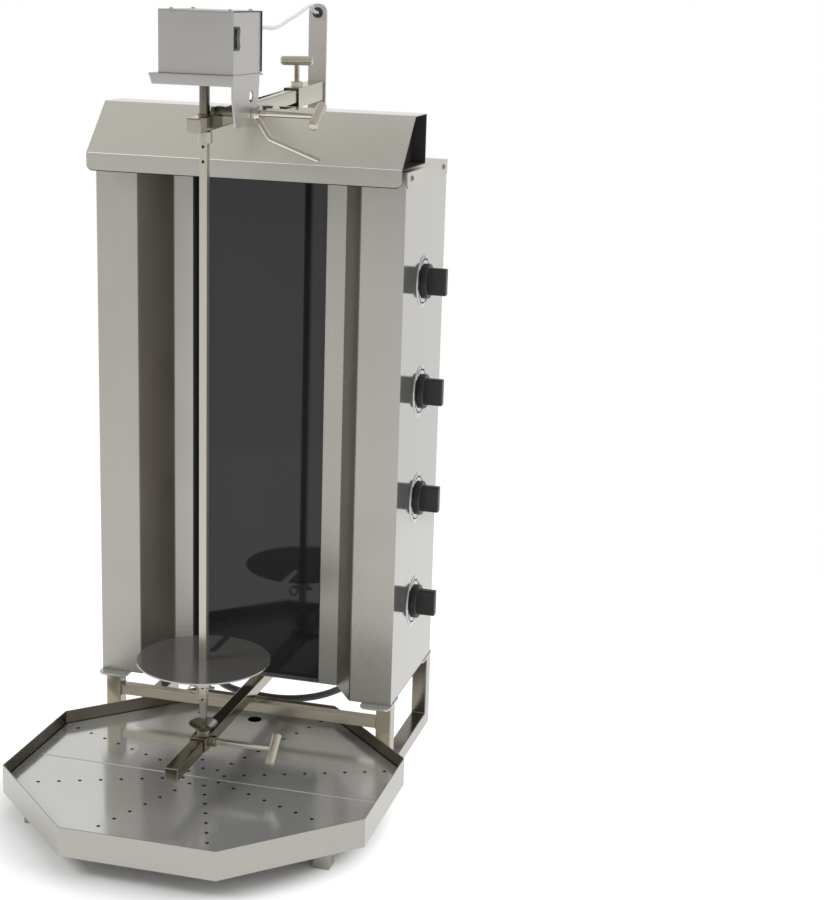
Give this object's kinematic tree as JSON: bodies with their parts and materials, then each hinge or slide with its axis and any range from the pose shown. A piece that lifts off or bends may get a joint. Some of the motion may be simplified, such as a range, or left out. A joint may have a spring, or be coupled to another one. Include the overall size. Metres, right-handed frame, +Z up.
{
  "type": "doner kebab grill",
  "caption": "Upright electric doner grill: a driven vertical spit with a meat plate stands over a drip tray, before a glass-fronted heated body with a sloping hood and side knobs.",
  "frame": {"origin": "on the floor, at the middle of the part's box in plan, without the mains lead", "axes": "+Z up along the spit, -Y towards the person who carves, +X to that person's right, where the knobs are"},
  "size_m": [0.505, 0.8795, 1.0636],
  "materials": {
    "frame_steel": "satin stainless tube",
    "body_steel": "brushed stainless sheet",
    "tray_steel": "brushed stainless sheet",
    "head_steel": "satin stainless sheet",
    "bright_steel": "polished",
    "spit_steel": "ground bar and plate",
    "heater_glass": "dark heat-proof glass",
    "heater_plate": "dark radiant plate",
    "mineral_wool": "matte",
    "seal_rubber": "matte",
    "black_plastic": "satin",
    "cord_rubber": "matte",
    "bronze": "machined",
    "pin_brass": "machined",
    "motor_paint": "satin"
  },
  "bodies": {
    "base": {"side_frame_right": "frame_steel", "side_frame_left": "frame_steel", "post_pads": "frame_steel", "crossbars": "frame_steel", "slide_rail": "frame_steel", "bottom_plate": "body_steel", "side_panel_right": "body_steel", "side_panel_left": "body_steel", "glass_seals": "seal_rubber", "glass_panel": "heater_glass", "heater_tray": "body_steel", "insulation": "mineral_wool", "heaters": "heater_plate", "rear_panel": "body_steel", "top_cover": "body_steel", "cover_screws": "bright_steel", "hood": "body_steel", "hood_floor": "body_steel", "mast_duct": "body_steel", "upright": "frame_steel", "mast_bolts": "bright_steel", "lead_grommets": "seal_rubber", "arm_sleeve": "frame_steel", "regulators": "black_plastic", "bezels": "bright_steel", "cable_gland": "black_plastic", "motor_lead": "cord_rubber", "mains_cable": "cord_rubber", "mains_coil": "cord_rubber", "plug_lead": "cord_rubber", "plug": "black_plastic", "plug_pins": "pin_brass"},
    "tray": {"drip_tray": "tray_steel", "tray_feet": "frame_steel"},
    "front_strainer": {"strainer_front": "tray_steel"},
    "rear_strainer": {"strainer_rear": "tray_steel"},
    "arm": {"upper_arm": "frame_steel", "arm_bush": "bronze", "pivot_stub": "frame_steel", "motor_bracket": "head_steel", "motor_case": "head_steel", "motor_lid": "head_steel", "gear_motor": "motor_paint", "switch_frame": "black_plastic", "case_bush": "seal_rubber"},
    "drive": {"drive_shaft": "bright_steel"},
    "collar_body": {"collar": "frame_steel", "spit_cup": "bright_steel"},
    "spit": {"spit_bar": "spit_steel", "meat_plate": "spit_steel", "plate_pin": "bright_steel"},
    "collar_screw": {"collar_handle": "bright_steel"},
    "clamp_screw": {"clamp_handle": "bright_steel"},
    "lever": {"lock_lever": "bright_steel"},
    "sleeve_screw": {"sleeve_handle": "bright_steel"},
    "switch_rocker": {"rocker": "black_plastic"},
    "low_knob": {"knob_1": "black_plastic"},
    "mid_low_knob": {"knob_2": "black_plastic"},
    "mid_high_knob": {"knob_3": "black_plastic"},
    "high_knob": {"knob_4": "black_plastic"}
  },
  "joints": [
    {"name": "arm_slide", "type": "slide", "parent": "base", "child": "arm", "axis": [0, 0.999, 0.0454], "range_m": [-0.03, 0.048], "deforming": ["motor_lead"]},
    {"name": "collar_slide", "type": "slide", "parent": "base", "child": "collar_body", "axis": [0, 1, 0], "range_m": [-0.03, 0.048]},
    {"name": "tray_slide", "type": "slide", "parent": "base", "child": "tray", "axis": [0, -1, 0], "range_m": [0, 0.3]},
    {"name": "front_strainer_lift", "type": "slide", "parent": "tray", "child": "front_strainer", "axis": [0, 0, 1], "range_m": [0, 0.02]},
    {"name": "rear_strainer_lift", "type": "slide", "parent": "tray", "child": "rear_strainer", "axis": [0, 0, 1], "range_m": [0, 0.02]},
    {"name": "spit_spin", "type": "hinge", "parent": "collar_body", "child": "spit", "pos_m": [-0.002, -0.127, 0.119], "axis": [0, 0, 1], "continuous": true},
    {"name": "drive_spin", "type": "hinge", "parent": "arm", "child": "drive", "pos_m": [-0.002, -0.127, 0.904], "axis": [0, 0, 1], "continuous": true},
    {"name": "collar_screw_turn", "type": "hinge", "parent": "collar_body", "child": "collar_screw", "pos_m": [0.0073, -0.127, 0.1015], "axis": [1, 0, 0], "range_deg": [-120, 120]},
    {"name": "clamp_screw_turn", "type": "hinge", "parent": "arm", "child": "clamp_screw", "pos_m": [0.056, -0.116, 0.9355], "axis": [1, 0, 0], "range_deg": [-120, 120]},
    {"name": "lever_turn", "type": "hinge", "parent": "arm", "child": "lever", "pos_m": [0.064, -0.116, 0.9355], "axis": [1, 0, 0], "range_deg": [-30, 30]},
    {"name": "sleeve_screw_turn", "type": "hinge", "parent": "base", "child": "sleeve_screw", "pos_m": [-0.002, 0.23309, 0.93805], "axis": [0, -0.0454, 0.999], "range_deg": [-120, 120]},
    {"name": "rocker_tip", "type": "hinge", "parent": "arm", "child": "switch_rocker", "pos_m": [0.053, -0.1655, 1.025], "axis": [0, 1, 0], "range_deg": [-8, 8]},
    {"name": "low_knob_turn", "type": "hinge", "parent": "base", "child": "low_knob", "pos_m": [0.217, 0.133, 0.239], "axis": [-1, 0, 0], "range_deg": [0, 300]},
    {"name": "mid_low_knob_turn", "type": "hinge", "parent": "base", "child": "mid_low_knob", "pos_m": [0.217, 0.133, 0.3933], "axis": [-1, 0, 0], "range_deg": [0, 300]},
    {"name": "mid_high_knob_turn", "type": "hinge", "parent": "base", "child": "mid_high_knob", "pos_m": [0.217, 0.133, 0.5476], "axis": [-1, 0, 0], "range_deg": [0, 300]},
    {"name": "high_knob_turn", "type": "hinge", "parent": "base", "child": "high_knob", "pos_m": [0.217, 0.133, 0.7019], "axis": [-1, 0, 0], "range_deg": [0, 300]}
  ],
  "couplings": [
    {"joint": "collar_slide", "follows": "arm_slide", "ratio": 0.99897},
    {"joint": "drive_spin", "follows": "spit_spin", "ratio": 1}
  ]
}
